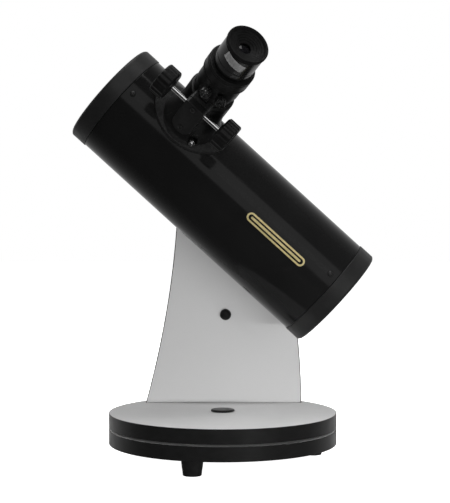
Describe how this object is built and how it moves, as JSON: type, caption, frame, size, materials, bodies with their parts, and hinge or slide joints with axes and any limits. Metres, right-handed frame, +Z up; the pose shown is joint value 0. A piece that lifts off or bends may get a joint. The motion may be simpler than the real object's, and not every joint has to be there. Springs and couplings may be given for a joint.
{
  "type": "newtonian reflector telescope",
  "caption": "Tabletop Newtonian reflector: short closed tube with rack-and-pinion focuser and eyepiece, on a single-arm mount turning on a round base.",
  "frame": {"origin": "on the ground, at the centre of the whole part's bounding box at rest", "axes": "+Z up; +X to the right when facing the focuser side; +Y away from the focuser side, towards the arm. The mirror end of the tube points to +X and down, its sky end to -X and up."},
  "size_m": [0.2732, 0.2464, 0.3764],
  "materials": {
    "black_board": "black edge banding and black laminate on fibreboard, satin",
    "foot_rubber": "matt moulded rubber",
    "zinc_steel": "zinc-plated steel",
    "white_nylon": "low-friction white plastic",
    "grey_laminate": "light grey melamine laminate on fibreboard, fine grain, black edges on the turntable",
    "black_plastic": "satin moulded plastic",
    "gloss_black_tube": "gloss black paint on rolled steel sheet",
    "ring_plastic": "black moulded plastic, semi-gloss",
    "black_steel": "blackened screw heads",
    "mirror_coating": "aluminised glass",
    "focuser_plastic": "black moulded plastic, satin",
    "chrome": "polished chrome",
    "eyepiece_black": "black anodised, semi-gloss",
    "eyecup_rubber": "soft matt rubber with fine rings",
    "lens_glass": "coated glass"
  },
  "bodies": {
    "ground": {"ground_board": "black_board", "foot_1": "foot_rubber", "foot_2": "foot_rubber", "foot_3": "foot_rubber", "foot_screw_1": "zinc_steel", "foot_screw_2": "zinc_steel", "foot_screw_3": "zinc_steel", "bearing_pad_1": "white_nylon", "bearing_pad_2": "white_nylon", "bearing_pad_3": "white_nylon", "azimuth_bolt": "zinc_steel", "azimuth_nut": "zinc_steel"},
    "turntable": {"turntable_board": "grey_laminate", "pivot_cap": "black_plastic", "side_arm": "grey_laminate", "arm_screw_1": "zinc_steel", "arm_screw_2": "zinc_steel", "rear_brace": "grey_laminate", "brace_screw_upper": "zinc_steel", "brace_screw_lower": "zinc_steel", "arm_screw_cap": "black_plastic"},
    "tube": {"tube_saddle": "black_plastic", "altitude_friction_washer": "white_nylon", "altitude_bolt": "zinc_steel", "tube_shell": "gloss_black_tube", "front_ring": "ring_plastic", "rear_ring": "ring_plastic", "front_ring_screw_1": "black_steel", "front_ring_screw_2": "black_steel", "front_ring_screw_3": "black_steel", "rear_ring_screw_1": "black_steel", "rear_ring_screw_2": "black_steel", "rear_ring_screw_3": "black_steel", "mirror_cell": "black_plastic", "primary_mirror": "mirror_coating", "mirror_clip_1": "black_plastic", "mirror_clip_2": "black_plastic", "mirror_clip_3": "black_plastic", "secondary_holder": "black_plastic", "secondary_mirror": "mirror_coating", "secondary_bolt": "zinc_steel", "focuser_body": "focuser_plastic", "pinion_cover": "focuser_plastic", "focuser_screw_1": "chrome", "focuser_screw_2": "chrome"},
    "tension_knob": {"altitude_knob": "black_plastic"},
    "drawtube": {"drawtube": "focuser_plastic", "eyepiece_collar": "focuser_plastic"},
    "pinion": {"pinion_shaft": "chrome", "focus_knob_left": "focuser_plastic", "focus_knob_right": "focuser_plastic"},
    "eyepiece": {"eyepiece_barrel": "chrome", "eyepiece_body": "eyepiece_black", "eyecup": "eyecup_rubber", "eye_lens": "lens_glass"},
    "thumbscrew_1": {"thumbscrew_1": "chrome"},
    "thumbscrew_2": {"thumbscrew_2": "chrome"},
    "collimation_screw_1": {"collimation_screw_1": "zinc_steel"},
    "collimation_screw_2": {"collimation_screw_2": "zinc_steel"},
    "collimation_screw_3": {"collimation_screw_3": "zinc_steel"}
  },
  "joints": [
    {"name": "azimuth", "type": "hinge", "parent": "ground", "child": "turntable", "pos_m": [0, 0.01922, 0.03], "axis": [0, 0, 1], "continuous": true},
    {"name": "altitude", "type": "hinge", "parent": "turntable", "child": "tube", "pos_m": [0, 0.01922, 0.2405], "axis": [0, 1, 0], "range_deg": [-42.3, 47.7]},
    {"name": "tension_knob_turn", "type": "hinge", "parent": "tube", "child": "tension_knob", "pos_m": [0, 0.09, 0.2405], "axis": [0, 1, 0], "range_deg": [0, 360]},
    {"name": "focus_slide", "type": "slide", "parent": "tube", "child": "drawtube", "axis": [0.4143, -0.788, 0.4554], "range_m": [-0.006, 0.014]},
    {"name": "focus_knob_turn", "type": "hinge", "parent": "tube", "child": "pinion", "pos_m": [-0.02295, -0.06836, 0.31186], "axis": [0.7396, 0, -0.673], "range_deg": [-62, 144]},
    {"name": "eyepiece_pull", "type": "slide", "parent": "drawtube", "child": "eyepiece", "axis": [0.4143, -0.788, 0.4554], "range_m": [0, 0.027]},
    {"name": "eyepiece_lock_1", "type": "hinge", "parent": "drawtube", "child": "thumbscrew_1", "pos_m": [0.0004, -0.07298, 0.33752], "axis": [-0.5558, -0.6153, -0.559], "range_deg": [0, 360]},
    {"name": "eyepiece_lock_2", "type": "hinge", "parent": "drawtube", "child": "thumbscrew_2", "pos_m": [0.0004, -0.07298, 0.33752], "axis": [-0.0895, -0.5332, -0.8413], "range_deg": [0, 360]},
    {"name": "collimation_turn_1", "type": "hinge", "parent": "tube", "child": "collimation_screw_1", "pos_m": [0.11147, 0.03589, 0.16241], "axis": [0.7396, 0, -0.673], "range_deg": [-180, 180]},
    {"name": "collimation_turn_2", "type": "hinge", "parent": "tube", "child": "collimation_screw_2", "pos_m": [0.08432, 0.02583, 0.13258], "axis": [0.7396, 0, -0.673], "range_deg": [-180, 180]},
    {"name": "collimation_turn_3", "type": "hinge", "parent": "tube", "child": "collimation_screw_3", "pos_m": [0.10376, -0.00407, 0.15394], "axis": [0.7396, 0, -0.673], "range_deg": [-180, 180]}
  ],
  "couplings": [
    {"joint": "focus_knob_turn", "follows": "focus_slide", "rad_per_m": 178.57}
  ]
}
